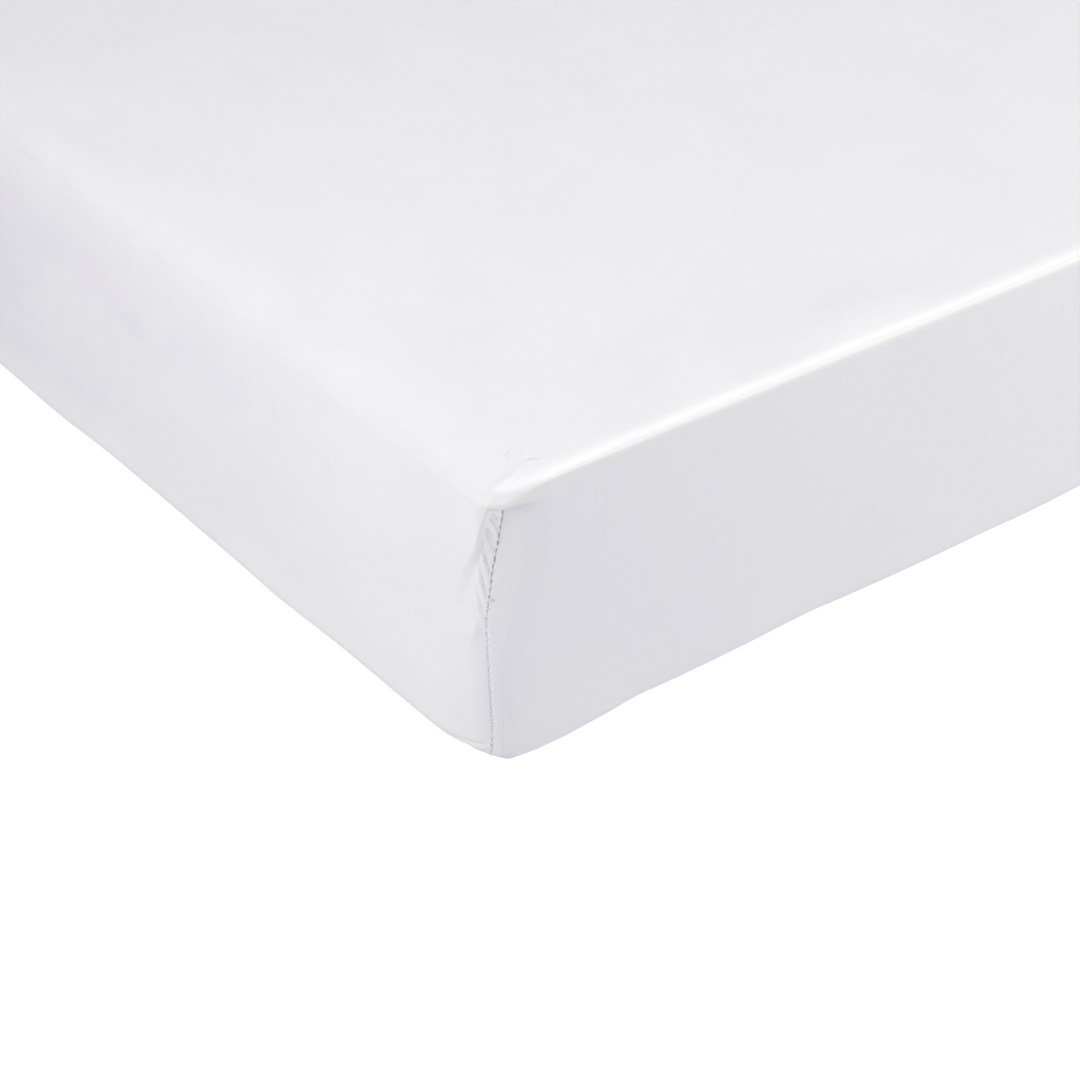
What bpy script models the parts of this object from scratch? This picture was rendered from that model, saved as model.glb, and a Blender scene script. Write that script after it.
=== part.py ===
"""A fitted sheet pulled over a plain single mattress, lying on the floor.

The sheet is made as it is sewn: one rectangle of cloth with a square notch cut from each corner, its four
flaps folded down over the mattress and turned in under it, and the sides of each notch joined in a seam.

Metres, +Z up. The origin is on the floor under the middle of the bed. The length runs along Y, and the
corner at -X, -Y is the front one.
"""

import math

import bmesh
import bpy

# The made bed, over the cloth
WIDTH = 0.90
LENGTH = 2.00
HEIGHT = 0.20
HALF_WIDTH = WIDTH / 2
HALF_LENGTH = LENGTH / 2

# The cloth
CLOTH_THICK = 0.0015
TUCK = 0.11  # how far each flap reaches in under the mattress
SKIRT = HEIGHT + TUCK  # from the fold at the top edge to the hem

# Edges and corners of the made bed
CORNER_RADIUS_TOP = 0.038  # of the upright corners, seen from above
CORNER_RADIUS_FOOT = 0.044
CORNER_EASE = 0.005  # how much rounder the top edge gets on its way round a corner
FOOT_RADIUS = 0.015  # of the edge along the floor
HEM_DRAW_IN = 0.030  # how far the elastic pulls the hem in across each corner
HEM_REACH = 0.20  # and how far along the hem from the corner that starts

# Top edge of each side: the direction that it faces, and its radius
TOP_EDGES = (
    {"name": "foot", "faces": (0, -1), "radius": 0.008},
    {"name": "left", "faces": (-1, 0), "radius": 0.022},
    {"name": "head", "faces": (0, 1), "radius": 0.012},
    {"name": "right", "faces": (1, 0), "radius": 0.018},
)

# Seam at each corner. The cloth dips into it under the top edge, wide on one side ("x" or "y") and narrow
# on the other. Drift is how far the seam wanders from the middle of its corner, towards the y side.
SEAMS = (
    {"corner": (-1, -1), "wide": "x", "dip": 0.0078, "drift_top": 0.004, "drift_foot": 0.008},
    {"corner": (1, -1), "wide": "y", "dip": 0.0052, "drift_top": -0.003, "drift_foot": -0.006},
    {"corner": (1, 1), "wide": "x", "dip": 0.0056, "drift_top": 0.002, "drift_foot": -0.004},
    {"corner": (-1, 1), "wide": "y", "dip": 0.0048, "drift_top": -0.004, "drift_foot": 0.005},
)
SEAM_STARTS = 0.013  # below the top of the bed, under the rounded corner
SEAM_FULL = 0.020  # where the dip is deepest
SEAM_CALM = 0.100  # below this only a shallow dip is left
CALM_SHARE = 0.2  # of the dip that runs on down to the floor
WIDE_DIP = 0.018
NARROW_DIP = 0.018

# How the flat cut is divided, out from the fold between top and flap. Each row ends a band.
BANDS_ON_TOP = (
    {"band": "edge", "ends": 0.010, "cells": 2},
    {"band": "shoulder", "ends": 0.020, "cells": 1},
    {"band": "corner", "ends": 0.060, "cells": 3},
)
BANDS_ON_FLAP = (
    {"band": "edge", "ends": 0.010, "cells": 2},
    {"band": "shoulder", "ends": 0.030, "cells": 3},
    {"band": "dip", "ends": 0.100, "cells": 4},
    {"band": "side", "ends": HEIGHT - FOOT_RADIUS, "cells": 2},
    {"band": "foot edge", "ends": HEIGHT + FOOT_RADIUS, "cells": 4},
    {"band": "tuck", "ends": SKIRT, "cells": 2},
)
MIDDLE_CELLS_ACROSS = 4  # from the middle line to the corner band
MIDDLE_CELLS_ALONG = 9

# The mattress
CLEARANCE = 0.002  # between the cloth and the mattress
MATTRESS_CORNER_RADIUS = 0.074
MATTRESS_EDGE_RADIUS = 0.024
MATTRESS_OFF_FLOOR = CLOTH_THICK + 0.0005

WELD = 0.00002

COTTON = {"name": "white_cotton", "color": (0.80, 0.80, 0.82, 1.0), "roughness": 0.55}
TICKING = {"name": "mattress_ticking", "color": (0.74, 0.73, 0.70, 1.0), "roughness": 0.9}


def clear_scene():
    for obj in list(bpy.data.objects):
        bpy.data.objects.remove(obj)


def make_material(finish):
    material = bpy.data.materials.new(finish["name"])
    material.use_nodes = True
    shader = material.node_tree.nodes["Principled BSDF"]
    shader.inputs["Base Color"].default_value = finish["color"]
    shader.inputs["Roughness"].default_value = finish["roughness"]
    shader.inputs["Metallic"].default_value = 0.0
    return material


def add_object(name, shape, material, collection):
    """Turns a bmesh into a named, smooth shaded object in the collection."""
    mesh = bpy.data.meshes.new(name)
    shape.to_mesh(mesh)
    shape.free()
    mesh.shade_smooth()
    mesh.materials.append(material)
    obj = bpy.data.objects.new(name, mesh)
    collection.objects.link(obj)
    return obj


def blend(low, high, value):
    """0 below low and 1 above high, with a soft start and end."""
    share = min(max((value - low) / (high - low), 0.0), 1.0)
    return share * share * (3 - 2 * share)


def mix(a, b, share):
    return a + (b - a) * share


# ---- the flat cut ----


def cut_lines(half_size, middle_cells):
    """Distances from the middle line to each grid line of the cut, out to the hem."""
    inner = [0.0]
    for band in BANDS_ON_TOP:
        step = (band["ends"] - inner[-1]) / band["cells"]
        inner += [inner[-1] + step * (i + 1) for i in range(band["cells"])]
    on_top = [half_size - distance for distance in reversed(inner)]
    middle = [on_top[0] * i / middle_cells for i in range(middle_cells)]
    outer = [0.0]
    for band in BANDS_ON_FLAP:
        step = (band["ends"] - outer[-1]) / band["cells"]
        outer += [outer[-1] + step * (i + 1) for i in range(band["cells"])]
    return middle + on_top + [half_size + distance for distance in outer[1:]]


def cut_cloth():
    """The flat cut: a grid with its lines where the folds need them, and a notch out of each corner."""
    across = cut_lines(HALF_WIDTH, MIDDLE_CELLS_ACROSS)
    along = cut_lines(HALF_LENGTH, MIDDLE_CELLS_ALONG)
    cells_x, cells_y = 2 * len(across) - 2, 2 * len(along) - 2
    shape = bmesh.new()
    bmesh.ops.create_grid(shape, x_segments=cells_x, y_segments=cells_y, size=0.5)
    for vert in shape.verts:
        column = round(vert.co.x * cells_x)
        row = round(vert.co.y * cells_y)
        vert.co.x = math.copysign(across[abs(column)], column)
        vert.co.y = math.copysign(along[abs(row)], row)
    notches = [
        face
        for face in shape.faces
        if abs(face.calc_center_median().x) > HALF_WIDTH and abs(face.calc_center_median().y) > HALF_LENGTH
    ]
    bmesh.ops.delete(shape, geom=notches, context="FACES")
    return shape


# ---- folding it over the mattress ----


def top_edge_radius(facing):
    """The top edge's radius where the outline faces this way: each side's own, and rounder at a corner."""
    shares = ((edge["radius"], edge["faces"]) for edge in TOP_EDGES)
    sides = sum(radius * max(facing[0] * x + facing[1] * y, 0.0) ** 2 for radius, (x, y) in shares)
    return sides + CORNER_EASE * (2 * facing[0] * facing[1]) ** 2


def seam_of(side_x, side_y):
    return next(seam for seam in SEAMS if seam["corner"] == (side_x, side_y))


def seam_drift(seam, drop):
    return mix(seam["drift_top"], seam["drift_foot"], blend(0.0, HEIGHT, drop))


def seam_dip(seam, along_outline, drop):
    """How far the cloth dips in, at a distance from the seam (positive on its y side) and below the top."""
    on_wide_side = (along_outline < 0) == (seam["wide"] == "x")
    reach = WIDE_DIP if on_wide_side else NARROW_DIP
    depth = blend(SEAM_STARTS, SEAM_FULL, drop) * mix(1.0, CALM_SHARE, blend(SEAM_FULL, SEAM_CALM, drop))
    return seam["dip"] * depth * blend(0.0, reach, reach - abs(along_outline))


def profile(past_fold, radius):
    """How far in from the outline, and how far below the top, the cloth is at a distance past the fold."""
    if past_fold < -radius:
        return -past_fold, 0.0
    if past_fold < radius:
        turn = math.pi / 4 * (past_fold / radius + 1)
        return radius * (1 - math.sin(turn)), radius * (1 - math.cos(turn))
    past_foot = past_fold - HEIGHT
    if past_foot < -FOOT_RADIUS:
        return 0.0, past_fold
    turn = min(math.pi / 4 * (past_foot / FOOT_RADIUS + 1), math.pi / 2)
    return FOOT_RADIUS * (1 - math.cos(turn)), HEIGHT - FOOT_RADIUS * (1 - math.sin(turn))


def on_bed(flat_x, flat_y):
    """Where a point of the flat cut lies on the made bed."""
    side_x, side_y = math.copysign(1, flat_x), math.copysign(1, flat_y)
    past_fold = max(abs(flat_x) - HALF_WIDTH, abs(flat_y) - HALF_LENGTH)
    x, y = min(abs(flat_x), HALF_WIDTH), min(abs(flat_y), HALF_LENGTH)
    corner = mix(CORNER_RADIUS_TOP, CORNER_RADIUS_FOOT, blend(0.0, HEIGHT, past_fold))
    core_x, core_y = min(x, HALF_WIDTH - corner), min(y, HALF_LENGTH - corner)
    out_x, out_y = x - core_x, y - core_y
    reach = max(out_x, out_y)
    if reach <= 0:
        return side_x * x, side_y * y, HEIGHT
    turn = math.atan2(out_y, out_x)
    from_seam = (turn - math.pi / 4) * corner
    facing = (side_x * math.cos(turn), side_y * math.sin(turn))
    inset, drop = profile(past_fold, top_edge_radius(facing))
    if out_x > 0 and out_y > 0:
        seam = seam_of(side_x, side_y)
        turn += seam_drift(seam, drop) / corner * math.sin(2 * turn) ** 2 * blend(0.0, SEAM_STARTS, drop)
        inset += seam_dip(seam, from_seam, drop)
    out = corner - inset
    x, y = core_x + math.cos(turn) * out, core_y + math.sin(turn) * out
    tucked = past_fold - HEIGHT - FOOT_RADIUS
    if tucked > 0:
        from_corner = HALF_WIDTH - x + HALF_LENGTH - y
        draw_in = HEM_DRAW_IN * blend(0.0, HEM_REACH, HEM_REACH - from_corner)
        draw_in *= tucked / (TUCK - FOOT_RADIUS)
        x -= (tucked + draw_in) * x / (HALF_WIDTH - FOOT_RADIUS)
        y -= (tucked + draw_in) * y / (HALF_LENGTH - FOOT_RADIUS)
    return side_x * x, side_y * y, HEIGHT - drop


def make_fitted_sheet(material, collection):
    shape = cut_cloth()
    for vert in shape.verts:
        vert.co = on_bed(vert.co.x, vert.co.y)
    bmesh.ops.remove_doubles(shape, verts=shape.verts, dist=WELD)  # sews the sides of each notch together
    bmesh.ops.recalc_face_normals(shape, faces=shape.faces)
    sheet = add_object("fitted_sheet", shape, material, collection)
    cloth = sheet.modifiers.new("cloth", "SOLIDIFY")
    cloth.thickness = CLOTH_THICK
    cloth.offset = -1.0
    return sheet


# ---- the mattress ----


def make_mattress(material, collection):
    margin = CLOTH_THICK + CLEARANCE
    width, length = WIDTH - 2 * margin, LENGTH - 2 * margin
    top = HEIGHT - margin
    shape = bmesh.new()
    bmesh.ops.create_cube(shape, size=1.0)
    for vert in shape.verts:
        vert.co.x *= width
        vert.co.y *= length
        vert.co.z = top if vert.co.z > 0 else MATTRESS_OFF_FLOOR
    upright = [edge for edge in shape.edges if edge.verts[0].co.xy == edge.verts[1].co.xy]
    bmesh.ops.bevel(
        shape, geom=upright, offset=MATTRESS_CORNER_RADIUS, segments=8, profile=0.5, affect="EDGES"
    )
    level = [edge for edge in shape.edges if edge.verts[0].co.z == edge.verts[1].co.z]
    bmesh.ops.bevel(shape, geom=level, offset=MATTRESS_EDGE_RADIUS, segments=4, profile=0.5, affect="EDGES")
    return add_object("mattress", shape, material, collection)


def main():
    clear_scene()
    collection = bpy.data.collections.new("fitted_sheet_on_mattress")
    bpy.context.scene.collection.children.link(collection)
    make_fitted_sheet(make_material(COTTON), collection)
    make_mattress(make_material(TICKING), collection)


main()
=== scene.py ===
# %% [markdown]
# # A fitted sheet on a mattress
#
# This lesson makes the bedding look real round its CAD frame: a white cotton fitted sheet, drawn tight over a
# plain single mattress. The frame gives the size and the place of both, and each is replaced here by a finer
# piece of the same form.
#
# The order is the one that a maker would follow: the cloth is cut flat, folded over the bed and sewn at the
# corners, then come its creases, the thread in the seams, and the mattress inside. The materials follow, and
# last the floor, the light and the camera.

# %% Load the frame
import math
import random

import bmesh
import bpy
import numpy as np
from mathutils import Matrix, Vector


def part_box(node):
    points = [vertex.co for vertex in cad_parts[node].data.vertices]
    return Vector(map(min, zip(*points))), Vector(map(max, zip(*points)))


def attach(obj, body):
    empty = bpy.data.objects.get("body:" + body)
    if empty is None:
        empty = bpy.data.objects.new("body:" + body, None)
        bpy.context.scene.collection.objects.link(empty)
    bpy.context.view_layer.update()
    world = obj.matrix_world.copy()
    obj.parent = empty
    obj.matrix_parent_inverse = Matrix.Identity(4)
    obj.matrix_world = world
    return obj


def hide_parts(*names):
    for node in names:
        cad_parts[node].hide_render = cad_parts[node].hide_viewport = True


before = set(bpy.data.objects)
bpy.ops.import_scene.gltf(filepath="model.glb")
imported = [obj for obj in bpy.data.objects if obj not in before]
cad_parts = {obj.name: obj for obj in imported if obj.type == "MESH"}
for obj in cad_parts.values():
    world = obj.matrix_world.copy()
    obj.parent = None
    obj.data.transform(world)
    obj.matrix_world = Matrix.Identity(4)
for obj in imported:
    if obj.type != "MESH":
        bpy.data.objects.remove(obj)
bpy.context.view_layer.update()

sheet_low, sheet_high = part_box("fitted_sheet")
WIDTH = sheet_high.x - sheet_low.x
LENGTH = sheet_high.y - sheet_low.y
HEIGHT = sheet_high.z - sheet_low.z
HALF_WIDTH = WIDTH / 2
HALF_LENGTH = LENGTH / 2
print(f"the made bed is {WIDTH:.3f} m wide, {LENGTH:.3f} m long and {HEIGHT:.3f} m high")

# %% [markdown]
# ## Small helpers
#
# Cloth is all soft changes. A smooth step between two limits, worked out for every point at once with NumPy,
# is enough to write nearly all of them.

# %% Soft steps and mixes


def soft_step(low, high, value):
    """0 below low and 1 above high, with a soft start and end."""
    share = np.clip((value - low) / (high - low), 0.0, 1.0)
    return share * share * (3 - 2 * share)


def mix(a, b, share):
    return a + (b - a) * share


def bell(width, value):
    """1 at nought, and close to 0 at twice the width on either side."""
    return np.exp(-((value / width) ** 2))


print("halfway up a soft step:", float(soft_step(0.0, 1.0, 0.5)))

# %% [markdown]
# ## Modelling by hand, in code
#
# A mesh operator works on what is selected, and the frame arrives selected. So every new piece starts by
# letting go of everything, and is then the only object in hand.

# %% Pick up a piece and let go of the rest


def only(piece):
    """Selects this piece alone and makes it the active one."""
    if bpy.context.object and bpy.context.object.mode != "OBJECT":
        bpy.ops.object.mode_set(mode="OBJECT")
    bpy.ops.object.select_all(action="DESELECT")
    if piece:
        piece.select_set(True)
    bpy.context.view_layer.objects.active = piece


def select_faces(piece, wanted):
    """Selects in edit mode the faces whose centres pass a test, and says how many."""
    only(piece)
    bpy.ops.object.mode_set(mode="EDIT")
    bpy.ops.mesh.select_mode(type="FACE")
    bpy.ops.mesh.select_all(action="DESELECT")
    shape = bmesh.from_edit_mesh(piece.data)
    chosen = 0
    for face in shape.faces:
        if wanted(face.calc_center_median()):
            face.select_set(True)
            chosen += 1
    bmesh.update_edit_mesh(piece.data)
    return chosen


def apply_all(piece):
    only(piece)
    for name in [modifier.name for modifier in piece.modifiers]:
        bpy.ops.object.modifier_apply(modifier=name)


def get_points(piece):
    points = np.empty(len(piece.data.vertices) * 3)
    piece.data.vertices.foreach_get("co", points)
    return points.reshape(-1, 3)


def set_points(piece, points):
    piece.data.vertices.foreach_set("co", points.astype(np.float32).ravel())
    piece.data.update()


def triangles(piece):
    return sum(len(polygon.vertices) - 2 for polygon in piece.data.polygons)


print("the frame holds", ", ".join(sorted(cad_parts)))

# %% [markdown]
# ## The form of the made bed
#
# Every maker of fitted sheets cuts one rectangle, with a square notch at each corner, and sews the two sides
# of each notch together. The same is done here: a flat grid, and one function that says where each point of
# the flat cloth comes to lie. Simulating the cloth would be another way. It would take minutes, and the few
# creases that matter, at the corners, would come out by chance and not where they belong.
#
# The edges differ. Along the foot the cloth is drawn tight over a firm, narrow edge. Along the left side it
# rolls over softly.

# %% Edges and corners of the made bed
TUCK = 0.11  # how far the flaps reach in under the mattress
SKIRT = HEIGHT + TUCK
FOOT_RADIUS = 0.015  # of the edge along the floor

EDGE_RADII = {(0, -1): 0.0042, (-1, 0): 0.0135, (0, 1): 0.007, (1, 0): 0.011}

CORNERS = {
    (-1, -1): {
        "top": (0.042, 0.020), "foot": (0.024, 0.060), "waist": (0.014, 0.014), "edge": 0.0080,
        "wide": -1, "dip": 0.0080,
        "drift": ((0.0, -0.0034), (0.020, -0.0050), (0.045, -0.0066), (0.080, -0.0040), (0.120, 0.0036),
                  (0.160, 0.0106), (0.200, 0.0128), (0.310, 0.0128)),
    },
    (1, -1): {
        "top": (0.040, 0.036), "foot": (0.052, 0.046), "waist": (0.006, 0.008), "edge": 0.0140,
        "wide": 1, "dip": 0.0046,
        "drift": ((0.0, -0.0030), (0.060, -0.0004), (0.130, 0.0016), (0.200, -0.0030), (0.310, -0.0030)),
    },
    (1, 1): {
        "top": (0.038, 0.040), "foot": (0.048, 0.054), "waist": (0.008, 0.005), "edge": 0.0150,
        "wide": -1, "dip": 0.0050,
        "drift": ((0.0, 0.0026), (0.070, 0.0008), (0.140, -0.0018), (0.200, -0.0024), (0.310, -0.0024)),
    },
    (-1, 1): {
        "top": (0.037, 0.042), "foot": (0.054, 0.048), "waist": (0.005, 0.007), "edge": 0.0145,
        "wide": 1, "dip": 0.0043,
        "drift": ((0.0, -0.0036), (0.050, -0.0012), (0.120, 0.0012), (0.200, 0.0032), (0.310, 0.0032)),
    },
}
print(len(CORNERS), "corners, flaps", round(SKIRT, 3), "m deep")

# %% [markdown]
# At each corner the flat cloth has more length than the rounded mattress needs, so the seam hangs a little
# slack. It starts not at the top edge but under a small overhanging lip, where the cloth dips in and
# makes a leaf-shaped hollow on one side of the seam.

# %% How the cloth dips in at a corner seam
APEX_SAG = 0.011  # how far the head of the seam slides down over the edge
SAG_REACH = 0.022
SAG_FADES = (0.02, 0.16)  # below the top edge
LIP_HEIGHT = 0.0030
LIP_REACH = 0.014
NARROW_LIP = 0.5  # of that reach, on the side away from the hollow
LIP_WIDTH = 0.0050
DIP_STARTS = 0.0005  # below the head of the seam
DIP_FULL = 0.0075
DIP_CALM = 0.095
CALM_SHARE = 0.10
WIDE_REACH = ((0.0, 0.0080), (0.020, 0.0165), (0.050, 0.0265), (0.085, 0.0290), (0.120, 0.0240))
NARROW_REACH = ((0.0, 0.018), (0.020, 0.030), (0.080, 0.034))
STEP_SHARE = 0.52  # how much of the dip comes at once, at the edge of the hollow
STEP_ENDS = (-0.04, 0.24)  # where that step starts and ends, as shares of the way in from that edge


def dip_at(corner, around, below):
    """How far the cloth is drawn in near a seam: around is the distance from the seam, and below the one
    from its head. Both are arrays."""
    depth = soft_step(DIP_STARTS, DIP_FULL, below)
    depth = depth * mix(1.0, CALM_SHARE, soft_step(DIP_FULL, DIP_CALM, below))
    wide = np.interp(below, *zip(*WIDE_REACH))
    share = 1 - np.abs(around) / wide
    bank = STEP_SHARE * soft_step(*STEP_ENDS, share) + (1 - STEP_SHARE) * np.maximum(share, 0.0)
    narrow = 1 - soft_step(0.0, 1.0, np.abs(around) / np.interp(below, *zip(*NARROW_REACH)))
    on_wide = around * corner["wide"] > 0
    return corner["dip"] * depth * np.where(on_wide, bank, narrow)


print("the cloth dips in", round(CORNERS[(-1, -1)]["dip"] * 1000, 1), "mm at the front corner")

# %% [markdown]
# The folding itself: from the top, each flap rolls over the top edge, hangs straight down the side, rolls
# under the foot edge, and lies flat on the floor under the mattress. Round a corner the same path is swept
# along an oval quarter turn. On top, inside that turn, the cloth narrows evenly to one point.

# %% Fold a flat point over the bed


# how far the cloth has turned down, in degrees, at a distance past the fold in edge radii
ROLL = ((-3.0, 0), (-2.2, 4), (-1.2, 13), (-0.4, 25), (0.0, 40), (0.4, 64), (0.8, 84), (1.1, 90))
ROLL_STEPS = 300
roll_steps = np.linspace(ROLL[0][0], ROLL[-1][0], ROLL_STEPS)
roll_tilts = np.radians(np.interp(roll_steps, *zip(*ROLL)))
roll_inward = np.cumsum(np.cos(roll_tilts)[::-1])[::-1]
roll_inward = roll_inward / roll_inward[0] * -ROLL[0][0]
roll_down = np.cumsum(np.sin(roll_tilts))
roll_down = roll_down / roll_down[-1] * ROLL[-1][0]


def roll_over(past_fold, radius):
    """How far in from the outline, and how far below the top, the cloth is at a distance past the fold."""
    share = past_fold / radius
    inward = np.where(share < ROLL[0][0], -past_fold, radius * np.interp(share, roll_steps, roll_inward))
    down = np.where(share < ROLL[-1][0], radius * np.interp(share, roll_steps, roll_down), past_fold)
    past_foot = past_fold - HEIGHT
    under = math.pi / 4 * (np.clip(past_foot / FOOT_RADIUS, -1, 1) + 1)
    at_foot = past_foot > -FOOT_RADIUS
    inward = np.where(at_foot, FOOT_RADIUS * (1 - np.cos(under)), inward)
    down = np.where(at_foot, HEIGHT - FOOT_RADIUS * (1 - np.sin(under)), down)
    return inward, down


HEM_DRAW_IN = 0.030  # how far the hem is pulled in at a corner
HEM_REACH = 0.20
SEAM_DIPS = 0.05  # no dip reaches further than this from a seam
DRIFT_STARTS = 0.03  # above the head of the seam


def fold_cloth(flat):
    """Places each flat point on the made bed. Gives the places, and for each point its distance round the
    outline from the nearest corner seam and how far it is below the head of that seam, along the cloth."""
    places = np.empty((len(flat), 3))
    around_all, below_all = np.empty(len(flat)), np.empty(len(flat))
    side = np.where(flat < 0, -1, 1)
    for (side_x, side_y), corner in CORNERS.items():
        here = (side[:, 0] == side_x) & (side[:, 1] == side_y)
        across, along = np.abs(flat[here, 0]), np.abs(flat[here, 1])
        past_fold = np.maximum(across - HALF_WIDTH, along - HALF_LENGTH)
        x, y = np.minimum(across, HALF_WIDTH), np.minimum(along, HALF_LENGTH)
        lower = soft_step(0.0, HEIGHT, past_fold)
        waist = 4 * lower * (1 - lower)
        wide_x = mix(corner["top"][0], corner["foot"][0], lower) - corner["waist"][0] * waist
        wide_y = mix(corner["top"][1], corner["foot"][1], lower) - corner["waist"][1] * waist
        core_x, core_y = np.minimum(x, HALF_WIDTH - wide_x), np.minimum(y, HALF_LENGTH - wide_y)
        out_x, out_y = (x - core_x) / wide_x, (y - core_y) / wide_y
        turn = np.arctan2(out_y, np.maximum(out_x, 1e-9))
        turn = np.where((out_x <= 0) & (out_y <= 0), math.pi / 4, turn)
        mean = (wide_x + wide_y) / 2
        round_corner = (turn - math.pi / 4) * mean
        before, after = HALF_LENGTH - wide_y - y, HALF_WIDTH - wide_x - x
        around = np.where(out_y <= 0, round_corner - before, round_corner)
        around = np.where(out_x <= 0, round_corner + after, around)
        near = bell(SAG_REACH, around)
        sewn = (out_x > 0) & (out_y > 0)
        to_core = mix(wide_x, wide_y, np.sin(turn) ** 2)
        on_top = -(1 - np.maximum(out_x, out_y)) * to_core
        past_fold = np.where(sewn & (past_fold < 0), on_top, past_fold)
        sag = APEX_SAG * near * soft_step(-np.minimum(wide_x, wide_y), 0.0, past_fold)
        sag = sag * (1 - soft_step(*SAG_FADES, past_fold))
        past_fold = past_fold + sag
        facing_x, facing_y = side_x * np.cos(turn), side_y * np.sin(turn)
        radius = sum(
            size * np.maximum(facing_x * x_way + facing_y * y_way, 0.0) ** 2
            for (x_way, y_way), size in EDGE_RADII.items()
        )
        radius = mix(radius, corner["edge"], np.sin(2 * turn) ** 2)
        inward, down = roll_over(past_fold, radius)
        below = past_fold - APEX_SAG
        drift = np.interp(below, *zip(*corner["drift"])) * soft_step(-DRIFT_STARTS, 0.0, below)
        turn_more = drift / mean * np.sin(2 * turn) ** 2
        inward = inward + np.where(sewn | (np.abs(around) < SEAM_DIPS), dip_at(corner, around, below), 0.0)
        lip_reach = np.where(around * corner["wide"] > 0, LIP_REACH, NARROW_LIP * LIP_REACH)
        lip = LIP_HEIGHT * bell(lip_reach, around) * bell(LIP_WIDTH, below)
        inward = inward - lip
        out = turn + np.where(sewn, turn_more, 0.0)
        near_edge = soft_step(-0.5, 0.0, past_fold / to_core)
        way_x = np.cos(out) * mix(wide_x / to_core, 1.0, near_edge)
        way_y = np.sin(out) * mix(wide_y / to_core, 1.0, near_edge)
        place_x = core_x + np.cos(out) * np.where(out_x > 0, wide_x, 0.0) - way_x * inward
        place_y = core_y + np.sin(out) * np.where(out_y > 0, wide_y, 0.0) - way_y * inward
        inside = (out_x <= 0) & (out_y <= 0)
        place_x, place_y = np.where(inside, x, place_x), np.where(inside, y, place_y)
        down = np.where(inside, 0.0, down)
        tucked = np.maximum(past_fold - HEIGHT - FOOT_RADIUS, 0.0)
        from_corner = HALF_WIDTH - place_x + HALF_LENGTH - place_y
        draw_in = HEM_DRAW_IN * (1 - soft_step(0.0, HEM_REACH, from_corner)) * tucked / TUCK
        place_x = place_x - (tucked + draw_in) * place_x / (HALF_WIDTH - FOOT_RADIUS)
        place_y = place_y - (tucked + draw_in) * place_y / (HALF_LENGTH - FOOT_RADIUS)
        places[here] = np.stack([side_x * place_x, side_y * place_y, HEIGHT - down], 1)
        around_all[here], below_all[here] = around, below
    return places, around_all, below_all


print("the middle of the cloth lies at", fold_cloth(np.array([[0.1, 0.1]]))[0][0].round(3))

# %% [markdown]
# ## Cutting the cloth
#
# The flat cut is a grid. Its lines stand close where the cloth will roll over an edge, and far apart on the
# top, where nothing bends. Then the notches are cut out, and the cloth round each seam is subdivided until
# a cell is about a millimetre wide there, because that is where the small puckers come.

# %% Where the grid lines of the cut go
ON_TOP = ((0.012, 3), (0.030, 3), (0.062, 4))  # (distance in from the fold, cells)
ON_FLAP = ((0.012, 3), (0.030, 3), (0.178, 18), (0.222, 11), (SKIRT, 6))
MIDDLE_ACROSS, MIDDLE_ALONG = 13, 31


def line_places(half_size, middle_cells):
    """Distances from the middle line to each grid line, out to the hem."""
    inner, outer = [0.0], [0.0]
    for bands, places in ((ON_TOP, inner), (ON_FLAP, outer)):
        for ends, cells in bands:
            start = places[-1]
            places += [mix(start, ends, (i + 1) / cells) for i in range(cells)]
    on_top = [half_size - place for place in reversed(inner)]
    middle = [on_top[0] * i / middle_cells for i in range(middle_cells)]
    return np.array(middle + on_top + [half_size + place for place in outer[1:]])


lines_across = line_places(HALF_WIDTH, MIDDLE_ACROSS)
lines_along = line_places(HALF_LENGTH, MIDDLE_ALONG)
print(len(lines_across), "lines from the middle out to the side,", len(lines_along), "out to the foot")

# %% Lay out the cloth and cut the notches
cells_across, cells_along = 2 * len(lines_across) - 2, 2 * len(lines_along) - 2
only(None)
bpy.ops.mesh.primitive_grid_add(x_subdivisions=cells_across, y_subdivisions=cells_along, size=1)
cloth = bpy.context.object
cloth.name = "sheet_of_cotton"
points = get_points(cloth)
columns = np.rint(points[:, 0] * cells_across).astype(int)
rows = np.rint(points[:, 1] * cells_along).astype(int)
points[:, 0] = np.sign(columns) * lines_across[np.abs(columns)]
points[:, 1] = np.sign(rows) * lines_along[np.abs(rows)]
set_points(cloth, points)
cut_away = select_faces(cloth, lambda at: abs(at.x) > HALF_WIDTH and abs(at.y) > HALF_LENGTH)
bpy.ops.mesh.delete(type="FACE")
print("cut away", cut_away, "cells at the corners,", len(cloth.data.polygons), "cells before")

# %% Make the cloth finer round each seam
OTHER_CORNERS = ((1, -1), (1, 1), (-1, 1))
FINE_ZONES = (
    # corner, reach from the seam on the side flap, on the end flap, on the top, and how far down the flap
    ((-1, -1), 0.072, 0.062, 0.062, 0.222),
    ((-1, -1), 0.034, 0.030, 0.040, 0.222),
    ((-1, -1), 0.030, 0.012, 0.012, 0.110),
    *((corner, 0.038, 0.038, 0.038, 0.222) for corner in OTHER_CORNERS),
    *((corner, 0.008, 0.008, 0.010, 0.222) for corner in OTHER_CORNERS),
)


def in_zone(zone, at):
    (side_x, side_y), on_side, on_end, on_top, deep = zone
    if at.x * side_x < 0 or at.y * side_y < 0:
        return False
    over_x, over_y = abs(at.x) - HALF_WIDTH, abs(at.y) - HALF_LENGTH
    if over_x > 0:
        return -over_y < on_side and over_x < deep
    if over_y > 0:
        return -over_x < on_end and over_y < deep
    return -over_x < on_top and -over_y < on_top


for zone in FINE_ZONES:
    select_faces(cloth, lambda at: in_zone(zone, at))
    bpy.ops.mesh.subdivide(number_cuts=1)
bpy.ops.object.mode_set(mode="OBJECT")
print(len(cloth.data.polygons), "cells in the cloth")

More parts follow.
